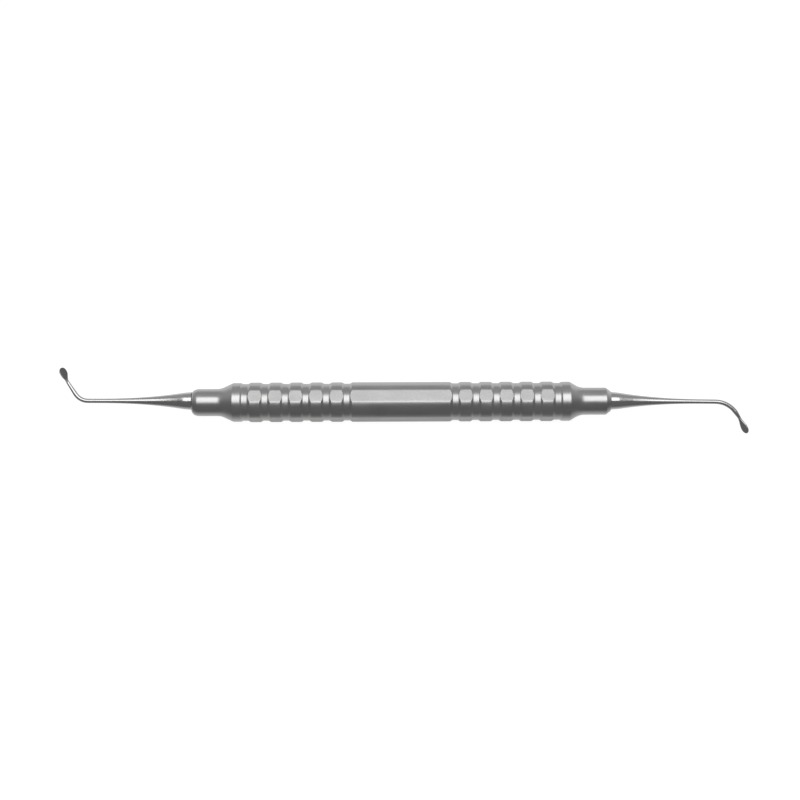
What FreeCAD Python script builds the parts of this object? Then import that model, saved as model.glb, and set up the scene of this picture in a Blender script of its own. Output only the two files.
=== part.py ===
import FreeCAD
import Part
import Sketcher
import os

# Tunneling curette: a hollow steel grip with a turned plug in each end, and a bent working end in
# each plug. Millimetres. X runs along the grip, Z is up, and the origin is the middle of the
# grip's bottom flat.

SIZES = [
    ("grip_dia", 10.0, "grip across its round lands"),
    ("flat_depth", 0.25, "flats below the round lands"),
    ("flat_count", 4, "flats round the grip"),
    ("grip_wall", 1.0, "wall of the hollow grip"),
    ("groove_count", 6, "ring grooves on each half of the grip"),
    ("groove_first", 13.6, "middle of the grip to its first groove"),
    ("groove_pitch", 5.12, "groove to groove"),
    ("groove_depth", 0.35, "floor of a groove below the round lands"),
    ("groove_width", 2.6, "groove across its mouth, at the grip's full diameter"),
    ("groove_floor_len", 1.4, "level floor of a groove along the grip"),
    ("fit_gap", 0.01, "radial gap of the pressed and soldered fits"),
    ("plug_len", 13.6, "plug from the joint with the grip to the nose"),
    ("spigot_len", 6.0, "plug's spigot inside the grip"),
    ("spigot_lead", 0.4, "chamfer that starts the spigot in the bore"),
    ("neck_dia", 6.6, "neck of both plugs"),
    ("ring_inset_left", 0.1, "left plug's round ring below the grip's lands"),
    ("ring_len_left", 3.1, "joint to the outer edge of the left ring"),
    ("shoulder_angle_left", 25.0, "slope of the left plug's conical shoulder, degrees"),
    ("shoulder_blend_left", 3.0, "radius between the left shoulder and the neck"),
    ("nose_len_left", 1.45, "rounding of the left nose along the axis"),
    ("nose_face_left", 4.7, "flat face of the left nose"),
    ("ring_inset_right", 0.05, "right plug's round ring below the grip's lands"),
    ("ring_len_right", 2.9, "joint to the outer edge of the right ring"),
    ("shoulder_len_right", 5.2, "hollow shoulder of the right plug"),
    ("nose_len_right", 1.2, "chamfer of the right nose along the axis"),
    ("nose_face_right", 4.7, "flat face of the right nose"),
    ("tang_dia", 3.0, "tang of a working end, inside its plug"),
    ("tang_len", 9.5, "length of the tang"),
    ("tang_room", 0.5, "space left in the bore beyond the tang"),
    ("drill_depth", 0.9, "drill point at the bottom of the bore"),
    ("root_dia", 4.4, "working end where it meets the nose"),
    ("root_len", 2.0, "length of the short cone at the root"),
    ("taper_dia", 4.06, "start of the long taper"),
    ("taper_len", 22.0, "length of the long taper, which runs out into the thin shank"),
    ("shank_dia", 1.14, "thin end of the shank"),
    ("heel_dia", 0.82, "arm where the blade begins"),
    ("bend_roll", 20.0, "plane of the bends to the grip's flats, degrees"),
    ("face_roll", 23.0, "face of a blade to the plane of its bend, degrees"),
    ("thin_len_left", 1.84, "thin straight shank from the taper to the left bend"),
    ("bend_radius_left", 3.64, "left bend on the centre line"),
    ("bend_angle_left", 57.0, "left bend, degrees"),
    ("arm_len_left", 5.02, "left arm from the bend to the blade"),
    ("blade_turn_left", 11.4, "further turn of the left blade, degrees"),
    ("blade_len_left", 3.27, "left blade"),
    ("blade_width_left", 1.85, "left blade at its widest"),
    ("thin_len_right", 2.47, "thin straight shank from the taper to the right bend"),
    ("bend_radius_right", 6.12, "right bend on the centre line"),
    ("bend_angle_right", 56.0, "right bend, degrees"),
    ("arm_len_right", 1.51, "right arm from the bend to the blade"),
    ("blade_turn_right", 7.2, "further turn of the right blade, degrees"),
    ("blade_len_right", 4.75, "right blade"),
    ("blade_width_right", 1.98, "right blade at its widest"),
    ("blade_thick", 0.7, "blade before its face is hollowed"),
    ("spoon_depth", 0.16, "how far the hollow face dips below the cutting edge"),
    ("edge_land", 0.06, "steel left outside the hollow, at the cutting edge"),
]

# The blade's outline as widths: share of the blade's length, share of the full width on top of
# the heel, and share of the change from the heel's thickness to the blade's.
BLADE_STATIONS = (
    (0.3, 0.42, 0.6),
    (0.62, 1.0, 1.0),
    (0.86, 0.76, 0.8),
    (0.985, 0.0, 0.0),
)
TIP_SHARE = 0.25

# Middle of the spoon's hollow, as a share of the blade's length.
HOLLOW_SHARE = 0.58

# The joint of grip and plug is on the outermost groove, and the nose is the plug's far end.
JOINT = "groove_first + (groove_count - 1) * groove_pitch"
NOSE = f"{JOINT} + plug_len"
AXIS_HEIGHT = "grip_dia / 2 - flat_depth"
STILL = ("0", "0", "0")

# Radii that the grip and its plugs share: the bore, and the floor of the grooves.
BORE = "(grip_dia / 2 - grip_wall)"
FLOOR = "(grip_dia / 2 - groove_depth)"

doc = FreeCAD.newDocument("TunnelingCurette")
sheet = doc.addObject("Spreadsheet::Sheet", "Sizes")
for row, (alias, value, note) in enumerate(SIZES, start=1):
    sheet.set(f"A{row}", alias)
    sheet.set(f"B{row}", str(value))
    sheet.set(f"C{row}", note)
    sheet.setAlias(f"B{row}", alias)
doc.recompute()


def sized(text):
    """Puts the sheet's name before every alias in a formula."""
    words = sorted((alias for alias, _, _ in SIZES), key=len, reverse=True)
    out = text
    for place, word in enumerate(words):
        out = out.replace(word, f"@{place}@")
    for place, word in enumerate(words):
        out = out.replace(f"@{place}@", f"Sizes.{word}")
    return out


def number(text):
    """The value that a formula has now, to start a sketch near its final form."""
    return float(sheet.evalExpression(sized(text)))


def new_body(name):
    """An empty body whose label is the name of the piece."""
    body = doc.addObject("PartDesign::Body", name)
    body.Label = name
    return body


def origin_part(body, role):
    """One of a body's own origin planes or axes."""
    return [part for part in body.Origin.OriginFeatures if part.Role == role][0]


def new_sketch(body, name, role):
    """A sketch on one of the body's own origin planes."""
    sketch = body.newObject("Sketcher::SketchObject", name)
    sketch.AttachmentSupport = [(origin_part(body, role), "")]
    sketch.MapMode = "FlatFace"
    return sketch


def hold(sketch, kind, *refs, size):
    """A sketch constraint whose size is a formula of the sheet."""
    index = sketch.addConstraint(Sketcher.Constraint(kind, *refs, number(size)))
    sketch.setExpression(f"Constraints[{index}]", sized(size))


def pin_point(sketch, geo, end, across, up):
    """Holds a point of a sketch at a place given by two formulas, on the axes where they are 0."""
    for kind, size, axis in (("DistanceX", across, -2), ("DistanceY", up, -1)):
        if size == "0":
            sketch.addConstraint(Sketcher.Constraint("PointOnObject", geo, end, axis))
        else:
            hold(sketch, kind, -1, 1, geo, end, size=size)


def arc_between(start, end, radius, bulge):
    """The arc from start to end; bulge 1 bows to the left of the way from start to end."""
    half = (end - start) * 0.5
    rise = max(radius * radius - half.Length * half.Length, 0.0) ** 0.5
    left = FreeCAD.Vector(-half.y, half.x, 0).normalize()
    centre = start + half - left * rise * bulge
    crown = centre + left * radius * bulge
    return Part.Arc(start, crown, end)


def closed_outline(sketch, corners, arcs):
    """A closed outline through corners given as formulas. arcs maps the number of the corner that
    a side leaves to (radius formula, bulge), and every other side is straight."""
    points = [FreeCAD.Vector(number(across), number(up), 0) for across, up in corners]
    count = len(points)
    starts = []
    for index, point in enumerate(points):
        following = points[(index + 1) % count]
        if index in arcs:
            radius, bulge = arcs[index]
            arc = arc_between(point, following, number(radius), bulge)
            geo = sketch.addGeometry(arc, False)
            forward = sketch.getPoint(geo, 1).isEqual(point, 1e-6)
            starts.append((geo, 1 if forward else 2))
            hold(sketch, "Radius", geo, size=radius)
        else:
            geo = sketch.addGeometry(Part.LineSegment(point, following), False)
            starts.append((geo, 1))
    for index, (geo, end) in enumerate(starts):
        before, before_end = starts[index - 1]
        sketch.addConstraint(Sketcher.Constraint("Coincident", before, 3 - before_end, geo, end))
    for (geo, end), (across, up) in zip(starts, corners):
        pin_point(sketch, geo, end, across, up)


def turned(body, name, corners, arcs):
    """A solid of revolution about the body's X axis from a closed outline."""
    sketch = new_sketch(body, f"{name}Profile", "XY_Plane")
    closed_outline(sketch, corners, arcs)
    solid = body.newObject("PartDesign::Revolution", name)
    solid.Profile = sketch
    solid.ReferenceAxis = (sketch, ["H_Axis"])
    solid.Angle = 360
    body.Tip = solid
    return solid


def place(thing, name, *steps):
    """Binds a placement to formulas. Each step is a shift, an axis and a turn about it."""
    parts = []
    for shift, axis, turn in steps:
        spot = "; ".join(sized(part) for part in shift)
        parts.append(f"placement(vector({spot}); rotation(vector({axis}); {sized(turn)}))")
    thing.setExpression(name, " * ".join(parts))


def stand_square(thing, along, across, angle, *further):
    """Stands what is on the YZ plane at a place on the shank's path, square to its direction."""
    place(thing, "AttachmentOffset", ((across, "0", along), "0; 1; 0", angle), *further)


def round_section(body, name, along, across, angle, diameter):
    """A circle square to the shank's path."""
    sketch = new_sketch(body, name, "YZ_Plane")
    sketch.addGeometry(Part.Circle(FreeCAD.Vector(), FreeCAD.Vector(0, 0, 1), number(diameter) / 2))
    sketch.addConstraint(Sketcher.Constraint("Coincident", 0, 3, -1, 1))
    hold(sketch, "Diameter", 0, size=diameter)
    stand_square(sketch, along, across, angle)
    return sketch


def oval_section(body, name, along, across, angle, roll, width, thick):
    """An ellipse square to the shank's path, its width rolled out of the plane of the bend."""
    sketch = new_sketch(body, name, "YZ_Plane")
    half_width = number(width) / 2
    half_thick = number(thick) / 2
    oval = Part.Ellipse(FreeCAD.Vector(), half_width, half_thick)
    sketch.addGeometry(oval, False)
    sketch.exposeInternalGeometry(0)
    sketch.addConstraint(Sketcher.Constraint("Coincident", 0, 3, -1, 1))
    sketch.addConstraint(Sketcher.Constraint("Horizontal", 1))
    hold(sketch, "Distance", 1, size=width)
    hold(sketch, "Distance", 2, size=thick)
    stand_square(sketch, along, across, angle, (STILL, "0; 0; 1", roll))
    return sketch


def lofted(body, name, sections):
    """A smooth solid through a row of sections."""
    solid = body.newObject("PartDesign::AdditiveLoft", name)
    solid.Profile = sections[0]
    solid.Sections = sections[1:]
    solid.Ruled = False
    solid.Closed = False
    body.Tip = solid
    return solid


def make_grip():
    """The hollow grip: a turned tube, ring grooves cut in rows from both sides of the plain
    middle, and flats milled along it that end in the outermost grooves."""
    body = new_body("grip_tube")
    half = f"({JOINT})"

    profile = new_sketch(body, "TubeProfile", "XY_Plane")
    reach = number(half)
    inner = number(BORE)
    outer = number("grip_dia / 2")
    corners = [(-reach, inner), (reach, inner), (reach, outer), (-reach, outer)]
    vectors = [FreeCAD.Vector(x, y, 0) for x, y in corners]
    for index in range(4):
        profile.addGeometry(Part.LineSegment(vectors[index], vectors[(index + 1) % 4]), False)
    for index in range(4):
        profile.addConstraint(Sketcher.Constraint("Coincident", index, 2, (index + 1) % 4, 1))
    profile.addConstraint(Sketcher.Constraint("Vertical", 1))
    profile.addConstraint(Sketcher.Constraint("Horizontal", 2))
    profile.addConstraint(Sketcher.Constraint("Symmetric", 0, 1, 0, 2, -2))
    profile.addConstraint(Sketcher.Constraint("Vertical", 3))
    hold(profile, "DistanceX", 0, 1, 0, 2, size=f"2 * {half}")
    hold(profile, "DistanceY", -1, 1, 0, 1, size=BORE)
    hold(profile, "DistanceY", -1, 1, 2, 1, size="grip_dia / 2")
    tube = body.newObject("PartDesign::Revolution", "Tube")
    tube.Profile = profile
    tube.ReferenceAxis = (profile, ["H_Axis"])
    tube.Angle = 360
    body.Tip = tube

    land = "grip_dia / 2"
    for side, sign in (("Left", -1), ("Right", 1)):
        ring = new_sketch(body, f"GrooveSection{side}", "XY_Plane")
        corners = [
            (f"{sign} * groove_first - groove_floor_len / 2", FLOOR),
            (f"{sign} * groove_first + groove_floor_len / 2", FLOOR),
            (f"{sign} * groove_first + groove_width / 2", land),
            (f"{sign} * groove_first - groove_width / 2", land),
        ]
        closed_outline(ring, corners, {})
        groove = body.newObject("PartDesign::Groove", f"Groove{side}")
        groove.Profile = ring
        groove.ReferenceAxis = (ring, ["H_Axis"])
        groove.Angle = 360
        body.Tip = groove
        row = body.newObject("PartDesign::LinearPattern", f"GrooveRow{side}")
        row.Originals = [groove]
        row.Direction = (origin_part(body, "X_Axis"), [""])
        row.Reversed = sign < 0
        row.setExpression("Length", sized("(groove_count - 1) * groove_pitch"))
        row.setExpression("Occurrences", sized("groove_count"))
        body.Tip = row

    mill = new_sketch(body, "FlatSection", "YZ_Plane")
    low = number(AXIS_HEIGHT)
    wide = number("grip_dia")
    rect = [(-wide / 2, low), (wide / 2, low), (wide / 2, wide), (-wide / 2, wide)]
    vectors = [FreeCAD.Vector(x, y, 0) for x, y in rect]
    for index in range(4):
        mill.addGeometry(Part.LineSegment(vectors[index], vectors[(index + 1) % 4]), False)
    for index in range(4):
        mill.addConstraint(Sketcher.Constraint("Coincident", index, 2, (index + 1) % 4, 1))
    mill.addConstraint(Sketcher.Constraint("Vertical", 1))
    mill.addConstraint(Sketcher.Constraint("Horizontal", 2))
    mill.addConstraint(Sketcher.Constraint("Symmetric", 0, 1, 0, 2, -2))
    mill.addConstraint(Sketcher.Constraint("Vertical", 3))
    hold(mill, "DistanceX", 0, 1, 0, 2, size="grip_dia")
    hold(mill, "DistanceY", -1, 1, 0, 1, size=AXIS_HEIGHT)
    hold(mill, "DistanceY", -1, 1, 2, 1, size="grip_dia")
    flat = body.newObject("PartDesign::Pocket", "Flat")
    flat.Profile = mill
    flat.Type = "ThroughAll"
    flat.SideType = "Symmetric"
    body.Tip = flat
    flats = body.newObject("PartDesign::PolarPattern", "Flats")
    flats.Originals = [flat]
    flats.Axis = (origin_part(body, "X_Axis"), [""])
    flats.Angle = 360
    flats.setExpression("Occurrences", sized("flat_count"))
    body.Tip = flats

    body.setExpression("Placement.Base.z", sized(AXIS_HEIGHT))
    return body


def make_plug(side):
    """A turned end plug, from its spigot to its nose. The joint with the grip lies on the floor
    of the outermost groove, and the plug carries the other half of that groove."""
    body = new_body(f"end_plug_{side}")
    ring = f"(grip_dia / 2 - ring_inset_{side})"
    neck = "neck_dia / 2"
    face = f"nose_face_{side} / 2"
    spigot = f"{BORE} - fit_gap"
    bore = "tang_dia / 2 + fit_gap"
    nose_x = "spigot_len + plug_len"
    ring_x = f"spigot_len + ring_len_{side}"
    nose_start = f"{nose_x} - nose_len_{side}"
    bore_x = f"{nose_x} - tang_len - tang_room"
    flank = "(groove_width - groove_floor_len) / (2 * groove_depth)"
    floor_x = "spigot_len + groove_floor_len / 2"
    rim_x = f"{floor_x} + ({ring} - {FLOOR}) * {flank}"
    nose_arc = f"(nose_len_{side} ^ 2 + ({neck} - {face}) ^ 2) / (2 * ({neck} - {face}))"

    start = [
        ("0", "0"),
        ("0", f"{spigot} - spigot_lead"),
        ("spigot_lead", spigot),
        ("spigot_len", spigot),
        ("spigot_len", FLOOR),
        (floor_x, FLOOR),
        (rim_x, ring),
        (ring_x, ring),
    ]
    arcs = {}
    if side == "left":
        blend = "shoulder_blend_left"
        slope = "shoulder_angle_left"
        blend_y = f"{neck} + {blend} * (1 - cos({slope}))"
        blend_x = f"{ring_x} + ({ring} - ({blend_y})) / tan({slope})"
        neck_x = f"{blend_x} + {blend} * sin({slope})"
        shoulder = [(blend_x, blend_y), (neck_x, neck)]
        arcs[8] = (blend, -1)
        arcs[10] = (nose_arc, 1)
    else:
        shoulder = [(f"{ring_x} + shoulder_len_right", neck)]
        fall = f"({ring} - {neck})"
        arcs[7] = (f"(shoulder_len_right ^ 2 + {fall} ^ 2) / (2 * {fall})", -1)
    finish = [
        (nose_start, neck),
        (nose_x, face),
        (nose_x, bore),
        (bore_x, bore),
        (f"{bore_x} - drill_depth", "0"),
    ]
    turned(body, "Plug", start + shoulder + finish, arcs)
    axis = "0; 1; 0" if side == "left" else None
    turn_and_place(body, side, f"({JOINT}) - spigot_len", "0", axis)
    return body


def make_working_end(side):
    """A working end in one piece: tang, root, long taper, bend, arm and spoon blade. It is drawn
    along +X with its bend towards +Y, and turned into place. The two are mirror mates: the face
    of the left blade is drawn below and that of the right one above, each rolled to the outside
    of its bend."""
    body = new_body(f"working_end_{side}")
    face = -1 if side == "left" else 1
    roll = f"{face} * face_roll"
    angle = f"bend_angle_{side}"
    radius = f"bend_radius_{side}"
    blade_len = f"blade_len_{side}"
    blade_angle = f"({angle} + blade_turn_{side})"
    taper_x = "tang_len + root_len"
    bend_x = f"{taper_x} + taper_len + thin_len_{side}"
    arm_x = f"{bend_x} + {radius} * sin({angle})"
    arm_y = f"{radius} * (1 - cos({angle}))"
    heel_x = f"{arm_x} + arm_len_{side} * cos({angle})"
    heel_y = f"{arm_y} + arm_len_{side} * sin({angle})"

    fall = "((taper_dia - shank_dia) / 2)"
    taper_arc = f"(taper_len ^ 2 + {fall} ^ 2) / (2 * {fall})"
    stock = [
        ("0", "0"),
        ("0", "tang_dia / 2"),
        ("tang_len", "tang_dia / 2"),
        ("tang_len", "root_dia / 2"),
        (taper_x, "taper_dia / 2"),
        (f"{taper_x} + taper_len", "shank_dia / 2"),
        (bend_x, "shank_dia / 2"),
        (bend_x, "0"),
    ]
    turned(body, "TangAndShank", stock, {4: (taper_arc, -1)})

    line = new_sketch(body, "BendLine", "XY_Plane")
    start = FreeCAD.Vector(number(bend_x), 0, 0)
    stop = FreeCAD.Vector(number(arm_x), number(arm_y), 0)
    line.addGeometry(arc_between(start, stop, number(radius), -1), False)
    first = 1 if line.getPoint(0, 1).isEqual(start, 1e-6) else 2
    pin_point(line, 0, first, bend_x, "0")
    pin_point(line, 0, 3 - first, arm_x, arm_y)
    hold(line, "Radius", 0, size=radius)
    rod = round_section(body, "BendSection", bend_x, "0", "0", "shank_dia")
    bend = body.newObject("PartDesign::AdditivePipe", "Bend")
    bend.Profile = rod
    bend.Spine = (line, ["Edge1"])
    body.Tip = bend

    mean = f"({angle} + blade_turn_{side} / 2)"
    arm = body.newObject("PartDesign::AdditiveCone", "Arm")
    arm.AttachmentSupport = [(origin_part(body, "YZ_Plane"), "")]
    arm.MapMode = "FlatFace"
    stand_square(arm, arm_x, arm_y, angle)
    arm.setExpression("Radius1", sized("shank_dia / 2"))
    arm.setExpression("Radius2", sized("heel_dia / 2"))
    arm.setExpression("Height", sized(f"arm_len_{side}"))
    body.Tip = arm
    sections = [round_section(body, "Heel", heel_x, heel_y, mean, "heel_dia")]
    for index, (along, spread, flatness) in enumerate(BLADE_STATIONS):
        place_x = f"{heel_x} + {blade_len} * {along} * cos({blade_angle})"
        place_y = f"{heel_y} + {blade_len} * {along} * sin({blade_angle})"
        before_tip = along < BLADE_STATIONS[1][0]
        base = "heel_dia" if before_tip else f"blade_width_{side} * {TIP_SHARE}"
        width = f"{base} + (blade_width_{side} - {base}) * {spread}"
        rim = "heel_dia" if before_tip else f"blade_thick * {TIP_SHARE}"
        thick = f"{rim} + (blade_thick - {rim}) * {flatness}"
        sections.append(
            oval_section(body, f"Blade{index}", place_x, place_y, blade_angle, roll, width, thick)
        )
    lofted(body, "Blade", sections)

    # The spoon's face is hollowed by the rounded rim of a wheel that runs along the blade. The
    # rim's sweep and section set the hollow's length and width.
    plan_len = f"({blade_len} * {1 - HOLLOW_SHARE} - edge_land)"
    plan_wide = f"(blade_width_{side} / 2 - edge_land)"
    sweep = f"(({plan_len} ^ 2 + spoon_depth ^ 2) / (2 * spoon_depth))"
    section = f"(({plan_wide} ^ 2 + spoon_depth ^ 2) / (2 * spoon_depth))"
    middle_x = f"{heel_x} + {blade_len} * {HOLLOW_SHARE} * cos({blade_angle})"
    middle_y = f"{heel_y} + {blade_len} * {HOLLOW_SHARE} * sin({blade_angle})"
    height = f"{face} * ({sweep} - spoon_depth)"
    hollow = body.newObject("PartDesign::SubtractiveTorus", "SpoonFace")
    hollow.AttachmentSupport = [(origin_part(body, "YZ_Plane"), "")]
    hollow.MapMode = "FlatFace"
    rolled = (STILL, "0; 0; 1", roll)
    wheel = (("0", height, "0"), "0; 1; 0", "90")
    stand_square(hollow, middle_x, middle_y, blade_angle, rolled, wheel)
    hollow.setExpression("Radius1", sized(f"{sweep} - {section}"))
    hollow.setExpression("Radius2", sized(section))
    hollow.Angle1 = -180
    hollow.Angle2 = 180
    hollow.Angle3 = 360
    body.Tip = hollow

    axis = "0; 1; 0" if side == "left" else "1; 0; 0"
    turn_and_place(body, side, f"{NOSE} - tang_len", "bend_roll", axis)
    return body


def turn_and_place(body, side, reach, roll, axis=None):
    """Sets a body's own origin on the grip's axis at a distance from the middle, rolled about that
    axis, after a half turn of the body about an axis of its own where one is given."""
    sign = "-1" if side == "left" else "1"
    steps = [((f"{sign} * ({reach})", "0", AXIS_HEIGHT), "1; 0; 0", roll)]
    if axis:
        steps.append((STILL, axis, "180"))
    place(body, "Placement", *steps)


bodies = [make_grip()]
for side in ("left", "right"):
    bodies.append(make_plug(side))
    bodies.append(make_working_end(side))
doc.recompute()

for thing in doc.Objects:
    if "Invalid" in thing.State or "Error" in thing.State:
        raise RuntimeError(f"{thing.Name} failed: {thing.State}")
for body in bodies:
    if body.Shape.isNull() or not body.Shape.isValid() or len(body.Shape.Solids) != 1:
        raise RuntimeError(f"{body.Label} is not one valid solid")
    last = None
    for feature in body.Group:
        if not feature.isDerivedFrom("PartDesign::Feature"):
            continue
        volume = feature.Shape.Volume
        if last is not None and abs(volume - last) < 1e-3:
            raise RuntimeError(f"{feature.Name} of {body.Label} changes nothing")
        last = volume

os.makedirs("parts", exist_ok=True)
for body in bodies:
    body.Shape.exportStep(f"parts/{body.Label}.step")
    print(body.Label, round(body.Shape.Volume, 2), "mm3", body.Shape.BoundBox)
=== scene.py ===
"""Dresses the tunneling curette: satin grip and end plugs, polished shanks and spoon blades."""

import bpy
import numpy as np
from mathutils import Matrix, Vector


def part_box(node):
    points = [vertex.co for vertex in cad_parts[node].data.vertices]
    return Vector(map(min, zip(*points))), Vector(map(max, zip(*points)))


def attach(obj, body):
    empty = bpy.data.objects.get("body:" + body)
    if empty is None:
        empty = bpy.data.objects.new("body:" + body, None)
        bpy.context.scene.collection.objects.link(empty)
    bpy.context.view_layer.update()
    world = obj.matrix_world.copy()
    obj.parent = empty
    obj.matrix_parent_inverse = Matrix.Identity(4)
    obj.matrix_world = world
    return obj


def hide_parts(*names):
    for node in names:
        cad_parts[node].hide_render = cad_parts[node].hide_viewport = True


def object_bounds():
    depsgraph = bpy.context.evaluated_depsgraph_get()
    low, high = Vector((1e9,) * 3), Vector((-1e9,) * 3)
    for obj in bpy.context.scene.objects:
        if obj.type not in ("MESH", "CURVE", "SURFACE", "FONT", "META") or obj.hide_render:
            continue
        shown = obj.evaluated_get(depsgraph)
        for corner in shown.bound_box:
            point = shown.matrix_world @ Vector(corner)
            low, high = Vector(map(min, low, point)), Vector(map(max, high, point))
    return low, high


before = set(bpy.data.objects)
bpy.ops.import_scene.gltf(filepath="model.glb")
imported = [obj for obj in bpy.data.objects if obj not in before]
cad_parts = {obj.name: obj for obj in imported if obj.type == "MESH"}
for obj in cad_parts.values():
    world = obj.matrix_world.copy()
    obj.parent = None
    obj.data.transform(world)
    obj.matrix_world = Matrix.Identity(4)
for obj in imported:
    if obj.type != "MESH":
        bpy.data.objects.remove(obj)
CAD_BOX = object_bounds()

bl_info = {
    "name": "Tunneling Curette",
    "version": (1, 0, 0),
    "blender": (4, 5, 0),
    "location": "View3D > Sidebar > Curette",
    "description": "Builds the surfaces, finishes and studio of a double-ended curette",
    "category": "Add Mesh",
}

MM = 0.001
GRIP_LOW, GRIP_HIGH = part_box("grip_tube")
AXIS_Z = (GRIP_LOW.z + GRIP_HIGH.z) / 2
JOINT_X = GRIP_HIGH.x
FLAT_REACH = (GRIP_HIGH.z - GRIP_LOW.z) / 2
NOSE_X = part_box("end_plug_right")[1].x
FLOOR_Z = CAD_BOX[0][2]

# Hidden parts of a plug, and the middle corner of its round nose as shares of length and fall
SPIGOT_LENGTH = 6.0 * MM
FIT_GAP = 0.01 * MM
BORE_RADIUS = 1.51 * MM
BORE_DEPTH = 10.0 * MM
DRILL_POINT = 0.9 * MM
NOSE_CORNER = (0.7, 0.32)

# Forms of a working end: powers, and shares of the bend, the blade and its thickness
TAPER_POWER = 2.3
BEND_EASING = 0.07
HEEL_SHARE = 0.25
HEEL_EASING = 0.1
TIP_POWER = 2.3
BACK_FLATNESS = 0.35
HOLLOW_MIDDLE = 0.52
HOLLOW_REACH = 0.48
HOLLOW_ONSET = -0.6
EDGE_ROUNDING = 0.008 * MM

# How closely the surfaces are divided
EASING_POINTS = 9
EASING_LIMIT = 0.45
OUTLINE_STEP = 0.25 * MM
GROOVE_WINDOW = 1.15
GROOVE_RINGS = 33
BORE_RING_STEP = 40
FLAT_FADE = 0.02 * MM
PATH_POINTS = 6001
TIP_START = 0.7
TIP_END = 0.9995

# The middle range of a noise pattern, and the depths of the textures
NOISE_LOW = 0.3
NOISE_HIGH = 0.7
TURNING_DEPTH = 0.0006 * MM
BLASTING_DEPTH = 0.0022 * MM
POLISHING_DEPTH = 0.0012 * MM

# The camera aims this many pixels to the left of the grip's middle and above it
PICTURE_PIXELS = 800
AIM_LEFT = 1.15
AIM_UP = 1.85

# The light table mirrors no glow from this slant on, except from this far behind the grip's axis
TABLE_REACH = 2.0
NO_GLOW_SLANT = 0.75
FULL_GLOW_BEHIND = 6 * MM

# The softbox, and where the sky starts and ends to turn from front to back
SOFTBOX_PLACE = Vector((0, 0.03, 0.8))
SOFTBOX_WIDTH = 0.8
SOFTBOX_DEPTH = 0.65
SKY_TURN = (-0.35, 0.45)


def length(name, description, millimetres):
    """A length in the add-on's panel, given in millimetres and kept in metres."""
    return bpy.props.FloatProperty(
        name=name, description=description, default=millimetres * MM, unit="LENGTH", precision=5
    )


def turn(name, description, degrees):
    """An angle in the add-on's panel, given in degrees and kept in radians."""
    return bpy.props.FloatProperty(
        name=name, description=description, default=np.radians(degrees).item(), subtype="ANGLE"
    )


def share(name, description, value):
    """A plain number from 0 to 1 in the add-on's panel."""
    return bpy.props.FloatProperty(
        name=name, description=description, default=value, min=0, max=1, subtype="FACTOR"
    )


def colour(name, description, value):
    """A colour in the add-on's panel."""
    return bpy.props.FloatVectorProperty(
        name=name, description=description, default=value, size=3, min=0, max=1, subtype="COLOR"
    )


class CuretteGripSizes(bpy.types.PropertyGroup):
    """Sizes of the hollow grip, and of the grooves that it shares with the plugs."""

    land_radius: length("Land radius", "Round lands between the grooves", 5.0)
    groove_first: length("First groove", "Middle of the grip to its first groove", 13.6)
    groove_pitch: length("Groove pitch", "Groove to groove", 5.12)
    groove_width: length("Groove width", "A groove across its mouth", 2.6)
    groove_floor: length("Groove floor", "Level floor of a groove", 1.4)
    groove_depth: length("Groove depth", "Floor of a groove below the lands", 0.35)
    bore_radius: length("Bore radius", "Inside of the hollow grip", 4.0)
    edge_softness: length("Edge softness", "Rounding of the edges of the flats by blasting", 0.03)
    groove_softness: share("Groove softness", "Rounding of the edges of the grooves", 0.1)


class CurettePlugSizes(bpy.types.PropertyGroup):
    """Sizes of one turned end plug."""

    ring_radius: length("Ring radius", "Round ring next to the grip", 4.9)
    ring_end: length("Ring length", "Joint to the outer edge of the ring", 3.1)
    shoulder_angle: turn("Shoulder slope", "Slope of the shoulder where it leaves the ring", 25.0)
    shoulder_end: length("Shoulder length", "Joint to the end of the shoulder", 7.2)
    neck_radius: length("Neck radius", "Straight neck", 3.42)
    nose_length: length("Nose length", "Rounding or chamfer of the nose along the axis", 1.5)
    nose_radius: length("Nose face", "Radius of the nose's flat face", 2.35)
    nose_round: bpy.props.BoolProperty(
        name="Round nose", description="Nose is rounded, and not chamfered", default=True
    )


class CuretteEndSizes(bpy.types.PropertyGroup):
    """Sizes of one working end."""

    tang_length: length("Tang length", "Hidden tang inside the plug", 9.5)
    tang_radius: length("Tang radius", "Hidden tang inside the plug", 1.3)
    root_radius: length("Root radius", "Working end at the nose", 2.26)
    root_length: length("Root length", "Short flare at the nose", 2.0)
    taper_radius: length("Taper radius", "Start of the long taper", 2.09)
    taper_length: length("Taper length", "Long taper down to the thin shank", 22.0)
    shank_radius: length("Shank radius", "Thin end of the shank", 0.57)
    heel_radius: length("Heel radius", "Arm where the blade begins", 0.41)
    bend_start: length("Bend start", "Nose to the bend", 26.3)
    seat: length("Seat", "How far off the grip's axis the working end is soldered in", 0.42)
    lean: length("Lean", "How much further the shank leans to the side of its bend", 0.11)
    bend_roll: turn("Bend roll", "Plane of the bend against the grip's flats", 20.0)
    bend_radius: length("Bend radius", "Bend on its centre line", 3.64)
    bend_angle: turn("Bend angle", "Direction of the arm against the grip", 57.0)
    arm_length: length("Arm length", "Straight arm between the bend and the blade", 4.0)
    blade_turn: turn("Blade turn", "Further turn of the blade at its heel", 9.0)
    face_roll: turn("Face roll", "Face of the blade against the plane of its bend", 18.0)
    blade_length: length("Blade length", "Heel to tip", 3.65)
    blade_width: length("Blade width", "Blade at its widest", 2.15)
    blade_widest: share("Widest at", "Share of the blade's length at its widest", 0.58)
    blade_thick: length("Blade thickness", "Blade before its face is hollowed", 0.7)
    hollow_depth: length("Hollow depth", "Dip of the hollow face below the edge", 0.16)
    edge_land: length("Edge land", "Steel left outside the hollow at the edge", 0.06)


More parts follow.
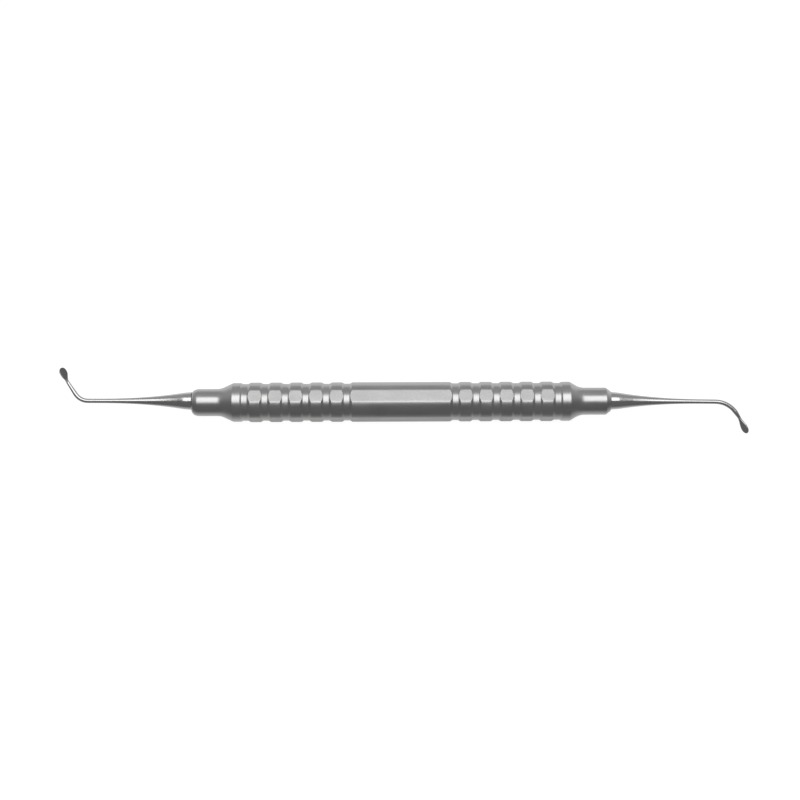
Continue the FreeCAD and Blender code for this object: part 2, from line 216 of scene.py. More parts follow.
class CuretteFinish(bpy.types.PropertyGroup):
    """Colours and smoothness of the two finishes."""

    satin: colour("Satin steel", "Colour of the blasted grip and plugs", (0.56, 0.56, 0.557))
    satin_roughness: share("Satin roughness", "Roughness of the blasted steel", 0.3)
    flat_roughness: share("Flat roughness", "How much rougher the ground flats are", 0.08)
    flat_tone: share("Flat tone", "Tone of the ground flats against the turned steel", 0.86)
    polish: colour("Polished steel", "Colour of the shanks and blades", (0.64, 0.64, 0.637))
    polish_roughness: share("Polish roughness", "Roughness of the polished steel", 0.16)


class CuretteStudio(bpy.types.PropertyGroup):
    """Camera and light of the studio."""

    elevation: turn("Elevation", "Height of the camera over the floor", 70.0)
    roll: turn("Roll", "Turn of the picture", 0.206)
    picture_width: length("Picture width", "What the picture shows from side to side", 202.0)
    lens: bpy.props.FloatProperty(
        name="Lens", description="Focal length, millimetres on a 36 mm sensor", default=64.0
    )
    box_watts: bpy.props.FloatProperty(
        name="Overhead softbox", description="Power of the softbox over the grip", default=2.56
    )
    sky_front: share("Front sky", "Brightness of the surroundings in front", 0.15)
    sky_back: share("Back sky", "Brightness of the surroundings behind", 0.38)
    table: colour("Light table", "Colour of the table under the room's light", (0.25, 0.25, 0.25))
    table_glow: share("Table glow", "Own light of the table, to the camera", 0.94)
    table_mirrored: share("Mirrored glow", "Own light of the table where metal mirrors it", 0.63)


def eased_step(t, softness):
    """Rises from 0 to 1 as t does, level outside, with rounded ends: half of the difference of two
    rounded absolute values, of t and of t minus 1, plus a half."""
    rise = np.sqrt(t * t + softness * softness) - np.sqrt((t - 1) ** 2 + softness * softness)
    return (rise + 1) / 2


def lower_of(a, b, softness):
    """The lower of two surfaces with their crossing rounded: their mean less half the rounded
    absolute value of their difference."""
    return (a + b - np.sqrt((a - b) ** 2 + softness * softness)) / 2


def eased_outline(corners, step):
    """Points of a turned outline. Each corner is (x, radius, easing): straight runs meet there in a
    parabola that leaves both at the easing's length from the corner. Runs are split every step."""
    knots = np.array([corner[:2] for corner in corners], float)
    parts = [knots[:1]]
    t = np.linspace(0, 1, EASING_POINTS)[:, None]
    for before, (x, radius, easing), after in zip(knots[:-2], corners[1:-1], knots[2:]):
        corner = np.array((x, radius))
        into = before - corner
        away = after - corner
        reach = min(easing, *(np.linalg.norm(run) * EASING_LIMIT for run in (into, away)))
        start = corner + into / np.linalg.norm(into) * reach
        stop = corner + away / np.linalg.norm(away) * reach
        parts.append((1 - t) ** 2 * start + 2 * t * (1 - t) * corner + t * t * stop)
    parts.append(knots[-1:])
    line = np.concatenate(parts)
    line = line[np.r_[True, np.linalg.norm(np.diff(line, axis=0), axis=1) > 1e-7]]
    run = np.r_[0, np.cumsum(np.linalg.norm(np.diff(line, axis=0), axis=1))]
    places = np.union1d(run, np.arange(0, run[-1], step))
    return np.interp(places, run, line[:, 0]), np.interp(places, run, line[:, 1])


def put_mesh(name, rings, along, first=None, last=None, sharp=40.0):
    """Makes an object of rings of points, joined to each other in rows of quads. The ends are
    closed on the points first and last, or joined to each other where both are missing. The UV map
    has the distance along the surface in its first value and the share of a turn in its second."""
    rows, columns = rings.shape[:2]
    closed = first is None and last is None
    points = rings.reshape(-1, 3)
    bands = rows if closed else rows - 1
    row = np.repeat(np.arange(bands), columns)
    column = np.tile(np.arange(columns), bands)
    here = row * columns + column
    beside = row * columns + (column + 1) % columns
    above = ((row + 1) % rows) * columns
    quads = np.stack([here, above + column, above + (column + 1) % columns, beside], 1)
    step = np.append(along, along[-1])
    quad_u = np.stack([step[row], step[row + 1], step[row + 1], step[row]], 1)
    quad_v = np.stack([column, column, column + 1, column + 1], 1) / columns
    corners = [quads.ravel()]
    uvs = [np.stack([quad_u.ravel(), quad_v.ravel()], 1)]
    sizes = [np.full(len(quads), 4)]
    edge = np.arange(columns)
    for pole, base, place in ((first, 0, along[0]), (last, (rows - 1) * columns, along[-1])):
        if pole is None:
            continue
        points = np.vstack([points, pole])
        tip = np.full(columns, len(points) - 1)
        ring = base + edge
        following = base + (edge + 1) % columns
        fan = [tip, ring, following] if base == 0 else [tip, following, ring]
        corners.append(np.stack(fan, 1).ravel())
        around = np.stack([edge + 0.5, edge, edge + 1], 1) / columns
        uvs.append(np.stack([np.full(columns * 3, place), around.ravel()], 1))
        sizes.append(np.full(columns, 3))
    corners = np.concatenate(corners)
    sizes = np.concatenate(sizes)
    uvs = np.concatenate(uvs)
    starts = np.r_[0, np.cumsum(sizes)[:-1]]
    mesh = bpy.data.meshes.new(name)
    mesh.vertices.add(len(points))
    mesh.vertices.foreach_set("co", points.astype(np.float32).ravel())
    mesh.loops.add(len(corners))
    mesh.loops.foreach_set("vertex_index", corners.astype(np.int32))
    mesh.polygons.add(len(sizes))
    mesh.polygons.foreach_set("loop_start", starts.astype(np.int32))
    mesh.polygons.foreach_set("use_smooth", np.ones(len(sizes), bool))
    layer = mesh.uv_layers.new(name="surface")
    layer.data.foreach_set("uv", uvs.astype(np.float32).ravel())
    mesh.update(calc_edges=True)
    if enclosed_volume(mesh) < 0:
        mesh.flip_normals()
    mesh.set_sharp_from_angle(angle=np.radians(sharp).item())
    if mesh.validate():
        raise RuntimeError(f"{name} has faulty faces")
    piece = bpy.data.objects.new(name, mesh)
    bpy.context.scene.collection.objects.link(piece)
    return piece


def enclosed_volume(mesh):
    """The volume inside a closed mesh: a third of the sum over its faces of area times the dot
    product of centre and normal. It is negative where the faces point inwards."""
    count = len(mesh.polygons)
    centre = np.empty(count * 3, np.float32)
    normal = np.empty(count * 3, np.float32)
    area = np.empty(count, np.float32)
    mesh.polygons.foreach_get("center", centre)
    mesh.polygons.foreach_get("normal", normal)
    mesh.polygons.foreach_get("area", area)
    height = (centre.reshape(-1, 3) * normal.reshape(-1, 3)).sum(1)
    return (area * height).sum() / 3


def turned_rings(x, radius, columns):
    """Rings round the grip's axis: at the share t of a turn the point is x along, radius times the
    sine to the side, and radius times the cosine above the axis. radius has one value for each
    ring, or one for each point of each ring."""
    angle = np.arange(columns) / columns * 2 * np.pi
    radius = np.asarray(radius)
    if radius.ndim == 1:
        radius = radius[:, None] * np.ones(columns)
    along = np.broadcast_to(np.asarray(x)[:, None], radius.shape)
    side = radius * np.sin(angle)
    up = AXIS_Z + radius * np.cos(angle)
    return np.stack([along, side, up], 2)


def groove_centres(sizes):
    """Places of the grooves along the grip, from one joint to the other."""
    half = np.arange(sizes.groove_first, JOINT_X + sizes.groove_pitch / 2, sizes.groove_pitch)
    return np.concatenate([-half[::-1], half])


def groove_dip(offset, sizes):
    """Depth of a groove at a distance from its middle: level on its floor, a straight flank on
    each side, level again outside, and the corners eased."""
    half_mouth = sizes.groove_width / 2
    flank = half_mouth - sizes.groove_floor / 2
    return sizes.groove_depth * eased_step((half_mouth - np.abs(offset)) / flank, sizes.groove_softness)


def grip_rings(sizes, columns=216):
    """The grip's outside: at each place the lower of the turned outline with its grooves and of the
    four flats, whose distance from the axis grows with one over the cosine of the angle from the
    middle of the flat. Also returns how much each point lies on a flat, from 0 to 1."""
    centres = groove_centres(sizes)
    window = np.linspace(-GROOVE_WINDOW, GROOVE_WINDOW, GROOVE_RINGS) * sizes.groove_width / 2
    places = (centres[:, None] + window).ravel()
    plain = np.linspace(-sizes.groove_first, sizes.groove_first, GROOVE_RINGS)
    x = np.unique(np.round(np.concatenate([places, plain, [-JOINT_X, JOINT_X]]), 7))
    x = x[np.abs(x) <= JOINT_X + 1e-9]
    dip = groove_dip(x[:, None] - centres, sizes).max(1)
    angle = np.arange(columns) / columns * 2 * np.pi
    quarter = np.pi / 2
    from_flat = (angle + quarter / 2) % quarter - quarter / 2
    flat = FLAT_REACH / np.cos(from_flat)
    outside = lower_of((sizes.land_radius - dip)[:, None], flat[None, :], sizes.edge_softness)
    flatness = np.clip((sizes.land_radius - dip[:, None] - outside) / FLAT_FADE, 0, 1)
    return x, turned_rings(x, outside, columns), flatness


def path_of(sizes, places):
    """Centre line of a working end, in its own directions: forward from the nose and to the side of
    the bend. The straight shank leans evenly, the bend turns at an even rate and the heel once
    more. The line is the heading's running sum of cosine and sine. Returns forward, side and
    heading at the places along it."""
    bend_end = sizes.bend_start + bend_run(sizes)
    heel = bend_end + sizes.arm_length
    s = np.linspace(-sizes.tang_length, heel + sizes.blade_length, PATH_POINTS)
    lean_turn = sizes.lean / sizes.bend_start
    heading = np.where(s > 0, lean_turn, 0.0)
    bend = eased_step((s - sizes.bend_start) / bend_run(sizes), BEND_EASING)
    heel_turn = eased_step((s - heel) / (HEEL_SHARE * sizes.blade_length) + 0.5, HEEL_EASING)
    heading += (sizes.bend_angle - lean_turn) * bend + sizes.blade_turn * heel_turn
    middle = (heading[1:] + heading[:-1]) / 2
    step = np.diff(s)
    forward = np.r_[0, np.cumsum(np.cos(middle) * step)] - sizes.tang_length
    side = np.r_[0, np.cumsum(np.sin(middle) * step)]
    side += sizes.seat - np.interp(0, s, side)
    return (np.interp(places, s, line) for line in (forward, side, heading))


def bend_run(sizes):
    """Length of the bend along its centre line."""
    return sizes.bend_radius * (sizes.bend_angle - sizes.lean / sizes.bend_start)


def stock_radius(sizes, s):
    """Radius of the round stock: tang, short flare at the nose, long taper that levels out with a
    power of the way left into the thin shank, and a slight taper of the arm to the heel."""
    taper_end = sizes.root_length + sizes.taper_length
    left = np.clip((taper_end - s) / sizes.taper_length, 0, 1)
    radius = sizes.shank_radius + (sizes.taper_radius - sizes.shank_radius) * left**TAPER_POWER
    flare = np.clip(1 - s / sizes.root_length, 0, 1)
    radius = radius + (sizes.root_radius - sizes.taper_radius) * flare
    arm_start = sizes.bend_start + bend_run(sizes)
    arm = np.clip((s - arm_start) / sizes.arm_length, 0, 1)
    radius = radius - (sizes.shank_radius - sizes.heel_radius) * arm
    return np.where(s < 0, sizes.tang_radius, radius)


def end_places(sizes):
    """Places of the rings of a working end along its centre line, closer where it curves more."""
    bend_end = sizes.bend_start + bend_run(sizes)
    heel = bend_end + sizes.arm_length
    near_tip = 1 - np.linspace(1, 0, 60) ** 2
    runs = (
        np.linspace(-sizes.tang_length, -0.0001 * MM, 6),
        np.linspace(0, sizes.bend_start, 70),
        np.linspace(sizes.bend_start, bend_end, 46),
        np.linspace(bend_end, heel, 40),
        heel + sizes.blade_length * np.linspace(0, TIP_START, 60),
        heel + sizes.blade_length * (TIP_START + (TIP_END - TIP_START) * near_tip),
    )
    return np.unique(np.concatenate(runs))


def end_rings(sizes, face, columns=96):
    """Rings of a working end. A ring is square to the centre line: its point at the angle a lies
    half the width times the cosine of a to the side, and half the thickness times the sine above
    or below. On the blade a power of the sine below one makes the back flatter, and the side
    that faces up or down is cut back to the hollow, whose depth falls with the fourth power of
    the distance from its middle along the blade and with the square across it. The section is
    then rolled so that the face looks to the outside of the bend. face is 1 for up and -1 for
    down."""
    s = end_places(sizes)
    forward, side, heading = path_of(sizes, s)
    stock = stock_radius(sizes, s)
    heel = sizes.bend_start + bend_run(sizes) + sizes.arm_length
    q = (s - heel) / sizes.blade_length
    swell = np.clip(q / sizes.blade_widest, 0, 1)
    swell = swell * swell * (3 - 2 * swell)
    close = np.clip((q - sizes.blade_widest) / (1 - sizes.blade_widest), 0, 1)
    close = np.sqrt(1 - close**TIP_POWER)
    half_width = (stock + (sizes.blade_width / 2 - stock) * swell) * close
    half_thick = (stock + (sizes.blade_thick / 2 - stock) * swell) * np.sqrt(close)
    angle = np.arange(columns) / columns * 2 * np.pi
    across = half_width[:, None] * np.cos(angle)
    fullness = 1 - BACK_FLATNESS * swell[:, None]
    up = half_thick[:, None] * np.sign(np.sin(angle)) * np.abs(np.sin(angle)) ** fullness
    middle = heel + HOLLOW_MIDDLE * sizes.blade_length
    plan_length = HOLLOW_REACH * sizes.blade_length - sizes.edge_land
    plan_width = sizes.blade_width / 2 - sizes.edge_land
    hollow = ((s[:, None] - middle) / plan_length) ** 4 + (across / plan_width) ** 2 - 1
    cut = np.where(q[:, None] > HOLLOW_ONSET, sizes.hollow_depth * hollow, 1.0)
    up = np.where(np.sin(angle) > 0, lower_of(up, cut, EDGE_ROUNDING), up)
    cos_roll = np.cos(sizes.face_roll)
    sin_roll = np.sin(sizes.face_roll)
    rolled = across * cos_roll - up * sin_roll
    risen = up * cos_roll + across * sin_roll
    return s, forward, side, heading, rolled, risen * face


def place_end(sizes, face, to_x, to_y):
    """Turns the rings of a working end from their own directions to the row's: to_x is the side of
    the grip that it is on, and to_y the side that it bends to. The plane of the bend is then rolled
    about the grip's axis."""
    s, forward, side, heading, across, up = end_rings(sizes, face)
    x = forward[:, None] - np.sin(heading)[:, None] * across
    y = to_y * (side[:, None] + np.cos(heading)[:, None] * across)
    cos_roll = np.cos(sizes.bend_roll)
    sin_roll = np.sin(sizes.bend_roll)
    level = y * cos_roll - up * sin_roll
    height = y * sin_roll + up * cos_roll
    return s, np.stack([to_x * (NOSE_X + x), level, AXIS_Z + height], 2)


def node_tree(name, roughness, tint):
    """A new steel material. Returns it with its node tree and its shader."""
    material = bpy.data.materials.new(name)
    material.use_nodes = True
    tree = material.node_tree
    shader = tree.nodes["Principled BSDF"]
    shader.inputs["Metallic"].default_value = 1.0
    shader.inputs["Roughness"].default_value = roughness
    shader.inputs["Base Color"].default_value = (*tint, 1)
    return material, tree, shader


def grain(tree, vector, scale, detail, stretch=(1, 1, 1)):
    """A noise pattern on a vector that is stretched along its axes."""
    mapping = tree.nodes.new("ShaderNodeMapping")
    mapping.inputs["Scale"].default_value = stretch
    noise = tree.nodes.new("ShaderNodeTexNoise")
    noise.inputs["Scale"].default_value = scale
    noise.inputs["Detail"].default_value = detail
    tree.links.new(vector, mapping.inputs["Vector"])
    tree.links.new(mapping.outputs["Vector"], noise.inputs["Vector"])
    return noise.outputs["Fac"]


def spread(tree, value, low, high):
    """Maps a pattern's middle range to the range from low to high."""
    scale = tree.nodes.new("ShaderNodeMapRange")
    scale.inputs["From Min"].default_value = NOISE_LOW
    scale.inputs["From Max"].default_value = NOISE_HIGH
    scale.inputs["To Min"].default_value = low
    scale.inputs["To Max"].default_value = high
    tree.links.new(value, scale.inputs["Value"])
    return scale.outputs["Result"]


def tinted(tree, value, tint, low, high):
    """The tint, darker and lighter with a pattern, between two shares of itself."""
    ramp = tree.nodes.new("ShaderNodeValToRGB")
    ramp.color_ramp.elements[0].position = NOISE_LOW
    ramp.color_ramp.elements[1].position = NOISE_HIGH
    ramp.color_ramp.elements[0].color = (*[part * low for part in tint], 1)
    ramp.color_ramp.elements[1].color = (*[part * high for part in tint], 1)
    tree.links.new(value, ramp.inputs["Fac"])
    return ramp.outputs["Color"]


def add_bump(tree, shader, heights):
    """Chains bumps, each a pair of a height pattern and its depth in metres, into the normal."""
    normal = None
    for height, depth in heights:
        bump = tree.nodes.new("ShaderNodeBump")
        bump.inputs["Strength"].default_value = 1.0
        bump.inputs["Distance"].default_value = depth
        tree.links.new(height, bump.inputs["Height"])
        if normal is not None:
            tree.links.new(normal, bump.inputs["Normal"])
        normal = bump.outputs["Normal"]
    tree.links.new(normal, shader.inputs["Normal"])


def satin_steel(finish):
    """Steel turned on a lathe and then blasted: a fine even grain over faint turning rings, with
    slow changes of tone where hands and the cassette have rubbed it. The flats are ground, so they
    are a little duller and coarser than the turned surfaces."""
    material, tree, shader = node_tree("satin_steel", finish.satin_roughness, finish.satin)
    place = tree.nodes.new("ShaderNodeTexCoord").outputs["Object"]
    ground = tree.nodes.new("ShaderNodeAttribute")
    ground.attribute_name = "ground_flat"
    blasting = grain(tree, place, scale=9000, detail=3)
    rubbing = grain(tree, place, scale=420, detail=4, stretch=(0.35, 1, 1))
    rings = grain(tree, place, scale=5200, detail=2, stretch=(1, 0.01, 0.01))
    specks = grain(tree, place, scale=3600, detail=2, stretch=(0.6, 1, 1))
    ground_tint = [part * finish.flat_tone for part in finish.satin]
    tone = tinted(tree, rubbing, finish.satin, low=0.95, high=1.05)
    speck_tone = tinted(tree, specks, ground_tint, low=0.92, high=1.05)
    blend = tree.nodes.new("ShaderNodeMix")
    blend.data_type = "RGBA"
    tree.links.new(ground.outputs["Fac"], blend.inputs["Factor"])
    tree.links.new(tone, blend.inputs["A"])
    tree.links.new(speck_tone, blend.inputs["B"])
    tree.links.new(blend.outputs["Result"], shader.inputs["Base Color"])
    low = finish.satin_roughness - 0.03
    high = finish.satin_roughness + 0.04
    even = spread(tree, rubbing, low, high)
    duller = tree.nodes.new("ShaderNodeMath")
    duller.operation = "MULTIPLY_ADD"
    duller.inputs[1].default_value = finish.flat_roughness
    tree.links.new(ground.outputs["Fac"], duller.inputs[0])
    tree.links.new(even, duller.inputs[2])
    tree.links.new(duller.outputs[0], shader.inputs["Roughness"])
    add_bump(tree, shader, [(rings, TURNING_DEPTH), (blasting, BLASTING_DEPTH)])
    return material


def polished_steel(finish):
    """Steel drawn and polished along its length: fine lines that follow the shank round its bend,
    and a trace of haze."""
    material, tree, shader = node_tree("polished_steel", finish.polish_roughness, finish.polish)
    coordinates = tree.nodes.new("ShaderNodeTexCoord")
    lines = grain(tree, coordinates.outputs["UV"], scale=60, detail=3, stretch=(6.0, 1.2, 1))
    haze = grain(tree, coordinates.outputs["Object"], scale=700, detail=4)
    tone = tinted(tree, haze, finish.polish, low=0.96, high=1.04)
    tree.links.new(tone, shader.inputs["Base Color"])
    low = finish.polish_roughness - 0.03
    high = finish.polish_roughness + 0.05
    tree.links.new(spread(tree, haze, low, high), shader.inputs["Roughness"])
    add_bump(tree, shader, [(lines, POLISHING_DEPTH)])
    return material


def finish_piece(piece, material, node):
    """Gives a piece its material and lets it ride in the place of its CAD node."""
    piece.data.materials.append(material)
    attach(piece, "root")
    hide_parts(node)


def steel(name, make):
    """The named material, made on its first use."""
    found = bpy.data.materials.get(name)
    return found if found else make(bpy.context.scene.curette_finish)


class CURETTE_OT_grip(bpy.types.Operator):
    """Builds the hollow grip with its grooves and flats"""

    bl_idname = "curette.grip"
    bl_label = "Build Grip"

    def execute(self, context):
        sizes = context.scene.curette_grip
        x, outside, flatness = grip_rings(sizes)
        columns = outside.shape[1]
        bore_x = x[::-BORE_RING_STEP]
        inside = turned_rings(bore_x, np.full(len(bore_x), sizes.bore_radius), columns)
        ends = turned_rings([JOINT_X, -JOINT_X], np.full(2, sizes.bore_radius), columns)
        rings = np.concatenate([outside, ends[:1], inside[1:-1], ends[1:]])
        steps = np.linalg.norm(np.diff(rings[:, 0], axis=0), axis=1)
        piece = put_mesh("grip_satin", rings, np.r_[0, np.cumsum(steps)])
        ground = np.zeros(rings.shape[:2], np.float32)
        ground[: len(flatness)] = flatness
        layer = piece.data.attributes.new("ground_flat", "FLOAT", "POINT")
        layer.data.foreach_set("value", ground.ravel())
        finish_piece(piece, steel("satin_steel", satin_steel), "grip_tube")
        return {"FINISHED"}


class CURETTE_OT_plugs(bpy.types.Operator):
    """Builds the two turned end plugs"""

    bl_idname = "curette.plugs"
    bl_label = "Build End Plugs"

    def execute(self, context):
        scene = context.scene
        for side, sizes in ((-1, scene.curette_plug_left), (1, scene.curette_plug_right)):
            name = "left" if side < 0 else "right"
            x, radius = eased_outline(plug_corners(sizes, scene.curette_grip), OUTLINE_STEP)
            rings = turned_rings(side * x[1:-1], radius[1:-1], columns=128)
            steps = np.linalg.norm(np.diff(rings[:, 0], axis=0), axis=1)
            first = np.array((side * x[0], 0, AXIS_Z))
            last = np.array((side * x[-1], 0, AXIS_Z))
            along = np.r_[0, np.cumsum(steps)]
            piece = put_mesh(f"plug_{name}_satin", rings, along, first, last)
            material = steel("satin_steel", satin_steel)
            finish_piece(piece, material, f"end_plug_{name}")
        return {"FINISHED"}


def plug_corners(sizes, grip):
    """Corners of a plug's outline from the inner end of its spigot to the bottom of its bore, as
    (x, radius, easing). The shoulder and a round nose are short straight runs along their curves,
    and the easing joins them into one."""
    flank = (grip.groove_width - grip.groove_floor) / 2 / grip.groove_depth
    floor = grip.land_radius - grip.groove_depth
    floor_end = JOINT_X + grip.groove_floor / 2
    rim = floor_end + (sizes.ring_radius - floor) * flank
    ring_end = JOINT_X + sizes.ring_end
    shoulder_end = JOINT_X + sizes.shoulder_end
    drop = sizes.ring_radius - sizes.neck_radius
    crook = ring_end + drop / np.tan(sizes.shoulder_angle)
    ease = shoulder_end - crook
    nose = NOSE_X - sizes.nose_length
    spigot = grip.bore_radius - FIT_GAP
    corners = [
        (JOINT_X - SPIGOT_LENGTH, 0, 0),
        (JOINT_X - SPIGOT_LENGTH, spigot, 0.3 * MM),
        (JOINT_X, spigot, 0.01 * MM),
        (JOINT_X, floor, 0.01 * MM),
        (floor_end, floor, 0.2 * MM),
        (rim, sizes.ring_radius, 0.2 * MM),
        (ring_end, sizes.ring_radius, 0.12 * MM),
        (crook, sizes.neck_radius, ease),
    ]
    fall = sizes.neck_radius - sizes.nose_radius
    if sizes.nose_round:
        length_share, fall_share = NOSE_CORNER
        corners += [
            (nose, sizes.neck_radius, 0.3 * MM),
            (nose + length_share * sizes.nose_length, sizes.neck_radius - fall_share * fall, 0.45 * MM),
            (NOSE_X, sizes.nose_radius, 0.15 * MM),
        ]
    else:
        corners += [
            (nose, sizes.neck_radius, 0.12 * MM),
            (NOSE_X, sizes.nose_radius, 0.08 * MM),
        ]
    corners += [
        (NOSE_X, BORE_RADIUS, 0.01 * MM),
        (NOSE_X - BORE_DEPTH, BORE_RADIUS, 0.05 * MM),
        (NOSE_X - BORE_DEPTH - DRILL_POINT, 0, 0),
    ]
    return corners


class CURETTE_OT_working_ends(bpy.types.Operator):
    """Builds the two bent shanks with their spoon blades"""

    bl_idname = "curette.working_ends"
    bl_label = "Build Working Ends"

    def execute(self, context):
        scene = context.scene
        ends = ((-1, 1, 1, scene.curette_end_left), (1, -1, -1, scene.curette_end_right))
        for to_x, to_y, face, sizes in ends:
            name = "left" if to_x < 0 else "right"
            s, rings = place_end(sizes, face, to_x, to_y)
            first = rings[0].mean(0)
            last = rings[-1].mean(0)
            piece = put_mesh(f"working_end_{name}_polished", rings, s / MM, first, last)
            material = steel("polished_steel", polished_steel)
            finish_piece(piece, material, f"working_end_{name}")
        return {"FINISHED"}


class CURETTE_OT_studio(bpy.types.Operator):
    """Builds the floor, the light and the camera"""

    bl_idname = "curette.studio"
    bl_label = "Build Studio"

    def execute(self, context):
        scene = context.scene
        studio = scene.curette_studio
        scene.view_settings.view_transform = "Standard"
        make_light_table(studio)
        make_camera(studio)
        make_softbox(studio)
        make_sky(studio)
        return {"FINISHED"}


def make_light_table(studio):
    """A wide light table under the instrument. It glows evenly to the camera. The metal mirrors its
    full glow behind the instrument, and in front of it less of the glow the flatter the mirrored
    ray runs along the film. The room's light leaves the instrument's shadow on it."""
    mesh = bpy.data.meshes.new("light_table")
    corners = TABLE_REACH * np.array([(-1, -1), (1, -1), (1, 1), (-1, 1)])
    mesh.from_pydata([(x, y, FLOOR_Z) for x, y in corners], [], [(0, 1, 2, 3)])
    table = bpy.data.objects.new("light_table", mesh)
    bpy.context.scene.collection.objects.link(table)
    mesh.materials.append(table_film(studio))


def table_film(studio):
    """The glowing film on the light table."""
    material = bpy.data.materials.new("light_table_film")
    material.use_nodes = True
    tree = material.node_tree
    shader = tree.nodes["Principled BSDF"]
    shader.inputs["Roughness"].default_value = 0.9
    shader.inputs["Specular IOR Level"].default_value = 0.0
    shader.inputs["Emission Color"].default_value = (1, 1, 1, 1)
    place = tree.nodes.new("ShaderNodeTexCoord").outputs["Object"]
    film = grain(tree, place, scale=300, detail=3)
    tone = tinted(tree, film, studio.table, low=0.99, high=1.01)
    tree.links.new(tone, shader.inputs["Base Color"])
    path = tree.nodes.new("ShaderNodeLightPath")
    mirrored = path.outputs["Is Glossy Ray"]
    mirrored = combined(tree, "MAXIMUM", mirrored, path.outputs["Is Transmission Ray"])
    slant = tree.nodes.new("ShaderNodeLayerWeight").outputs["Facing"]
    fall = tree.nodes.new("ShaderNodeMapRange")
    fall.inputs["From Min"].default_value = 0.0
    fall.inputs["From Max"].default_value = NO_GLOW_SLANT
    fall.inputs["To Min"].default_value = 1.0
    fall.inputs["To Max"].default_value = 0.0
    tree.links.new(slant, fall.inputs["Value"])
    parts = tree.nodes.new("ShaderNodeSeparateXYZ")
    tree.links.new(place, parts.inputs["Vector"])
    behind = tree.nodes.new("ShaderNodeMapRange")
    behind.inputs["From Min"].default_value = 0.0
    behind.inputs["From Max"].default_value = FULL_GLOW_BEHIND
    tree.links.new(parts.outputs["Y"], behind.inputs["Value"])
    level = combined(tree, "MAXIMUM", fall.outputs["Result"], behind.outputs["Result"])
    in_metal = scaled(tree, combined(tree, "MULTIPLY", mirrored, level), studio.table_mirrored)
    direct = scaled(tree, path.outputs["Is Camera Ray"], studio.table_glow)
    glow = combined(tree, "ADD", direct, in_metal)
    tree.links.new(glow, shader.inputs["Emission Strength"])
    return material


def combined(tree, operation, first, second):
    """The result of a Math node on two values."""
    node = tree.nodes.new("ShaderNodeMath")
    node.operation = operation
    tree.links.new(first, node.inputs[0])
    tree.links.new(second, node.inputs[1])
    return node.outputs[0]


def scaled(tree, value, factor):
    """A value times a fixed factor."""
    node = tree.nodes.new("ShaderNodeMath")
    node.operation = "MULTIPLY"
    node.inputs[1].default_value = factor
    tree.links.new(value, node.inputs[0])
    return node.outputs[0]


def make_camera(studio):
    """A camera close over the front of the instrument, square to its length."""
    camera = bpy.data.cameras.new("studio_camera")
    camera.sensor_width = 36
    camera.lens = studio.lens
    camera.clip_end = 20
    distance = studio.picture_width * studio.lens / camera.sensor_width
    pixel = studio.picture_width / PICTURE_PIXELS
    elevation = studio.elevation
    towards = Vector((0, -np.cos(elevation), np.sin(elevation)))
    turned = towards.to_track_quat("Z", "Y").to_matrix().to_4x4()
    turned = turned @ Matrix.Rotation(-studio.roll, 4, "Z")
    right = turned.to_3x3() @ Vector((1, 0, 0))
    up = turned.to_3x3() @ Vector((0, 1, 0))
    target = Vector((0, 0, AXIS_Z))
    target += (up * AIM_UP - right * AIM_LEFT) * pixel
    viewer = bpy.data.objects.new("studio_camera", camera)
    bpy.context.scene.collection.objects.link(viewer)
    viewer.matrix_world = Matrix.Translation(target + towards * distance) @ turned
    bpy.context.scene.camera = viewer


def make_softbox(studio):
    """A wide softbox over the instrument, a little behind it and square to it."""
    lamp = bpy.data.lights.new("overhead_softbox", "AREA")
    lamp.shape = "RECTANGLE"
    lamp.size = SOFTBOX_WIDTH
    lamp.size_y = SOFTBOX_DEPTH
    lamp.energy = studio.box_watts
    softbox = bpy.data.objects.new("overhead_softbox", lamp)
    bpy.context.scene.collection.objects.link(softbox)
    tilt = np.arctan2(SOFTBOX_PLACE.y, SOFTBOX_PLACE.z).item()
    softbox.matrix_world = Matrix.Translation(SOFTBOX_PLACE) @ Matrix.Rotation(-tilt, 4, "X")


def make_sky(studio):
    """Plain surroundings, darker in front and lighter behind, that turn from one to the other
    with the direction's share to the back."""
    world = bpy.data.worlds.new("studio_sky")
    world.use_nodes = True
    tree = world.node_tree
    shader = tree.nodes["Background"]
    direction = tree.nodes.new("ShaderNodeTexCoord").outputs["Generated"]
    parts = tree.nodes.new("ShaderNodeSeparateXYZ")
    ramp = tree.nodes.new("ShaderNodeMapRange")
    ramp.interpolation_type = "SMOOTHSTEP"
    ramp.inputs["From Min"].default_value = SKY_TURN[0]
    ramp.inputs["From Max"].default_value = SKY_TURN[1]
    ramp.inputs["To Min"].default_value = studio.sky_front
    ramp.inputs["To Max"].default_value = studio.sky_back
    tree.links.new(direction, parts.inputs["Vector"])
    tree.links.new(parts.outputs["Y"], ramp.inputs["Value"])
    tree.links.new(ramp.outputs["Result"], shader.inputs["Color"])
    bpy.context.scene.world = world


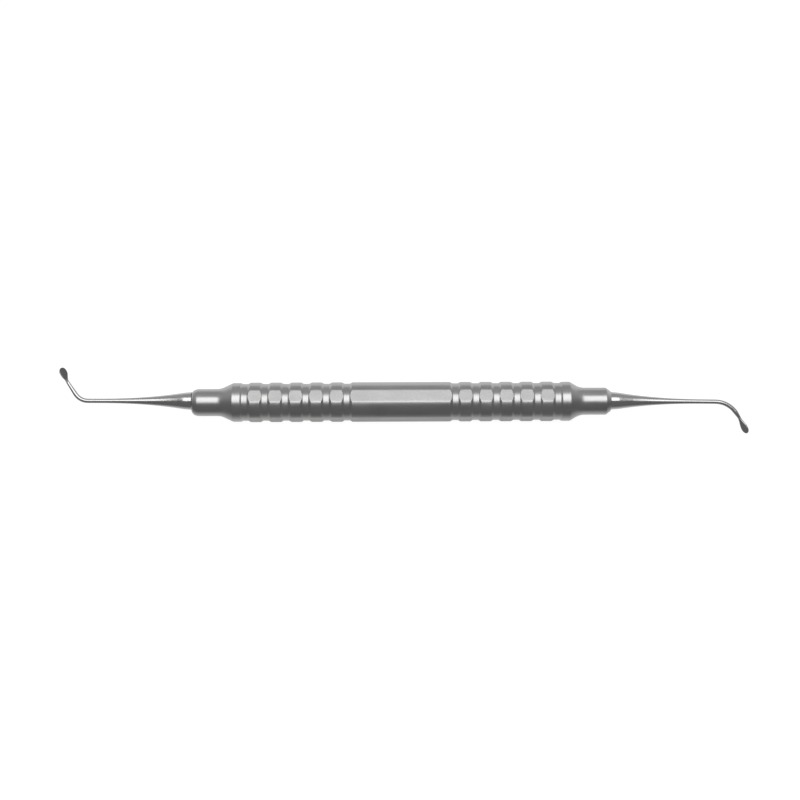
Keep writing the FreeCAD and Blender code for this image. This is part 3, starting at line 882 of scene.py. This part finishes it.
class CURETTE_PT_panel(bpy.types.Panel):
    """Lists the steps that build the curette"""

    bl_idname = "CURETTE_PT_panel"
    bl_label = "Tunneling Curette"
    bl_space_type = "VIEW_3D"
    bl_region_type = "UI"
    bl_category = "Curette"

    def draw(self, context):
        for operator in OPERATORS:
            self.layout.operator(operator.bl_idname)
        for name in SETTINGS:
            group = getattr(context.scene, name)
            box = self.layout.box()
            for prop in group.bl_rna.properties.keys():
                if prop not in ("rna_type", "name"):
                    box.prop(group, prop)


OPERATORS = (CURETTE_OT_grip, CURETTE_OT_plugs, CURETTE_OT_working_ends, CURETTE_OT_studio)
SETTINGS = {
    "curette_grip": CuretteGripSizes,
    "curette_plug_left": CurettePlugSizes,
    "curette_plug_right": CurettePlugSizes,
    "curette_end_left": CuretteEndSizes,
    "curette_end_right": CuretteEndSizes,
    "curette_finish": CuretteFinish,
    "curette_studio": CuretteStudio,
}
GROUPS = tuple(dict.fromkeys(SETTINGS.values()))


def register():
    for group in GROUPS:
        bpy.utils.register_class(group)
    for name, group in SETTINGS.items():
        setattr(bpy.types.Scene, name, bpy.props.PointerProperty(type=group))
    for operator in OPERATORS:
        bpy.utils.register_class(operator)
    bpy.utils.register_class(CURETTE_PT_panel)


def unregister():
    bpy.utils.unregister_class(CURETTE_PT_panel)
    for operator in reversed(OPERATORS):
        bpy.utils.unregister_class(operator)
    for name in SETTINGS:
        delattr(bpy.types.Scene, name)
    for group in reversed(GROUPS):
        bpy.utils.unregister_class(group)


def set_right_hand_sizes(scene):
    """The right plug and working end where they differ from the left ones."""
    plug = scene.curette_plug_right
    plug.ring_radius = 4.95 * MM
    plug.ring_end = 3.25 * MM
    plug.shoulder_angle = np.radians(31).item()
    plug.shoulder_end = 8.1 * MM
    plug.nose_length = 1.2 * MM
    plug.nose_radius = 2.5 * MM
    plug.nose_round = False
    end = scene.curette_end_right
    end.bend_start = 26.66 * MM
    end.seat = -0.1 * MM
    end.lean = 0.33 * MM
    end.bend_radius = 6.12 * MM
    end.bend_angle = np.radians(56).item()
    end.arm_length = 1.51 * MM
    end.blade_turn = np.radians(7.2).item()
    end.face_roll = np.radians(32).item()
    end.blade_length = 4.5 * MM
    end.blade_width = 1.75 * MM
    end.blade_widest = 0.66


def main():
    register()
    set_right_hand_sizes(bpy.context.scene)
    bpy.ops.curette.grip()
    bpy.ops.curette.plugs()
    bpy.ops.curette.working_ends()
    bpy.ops.curette.studio()


if __name__ == "__main__":
    main()
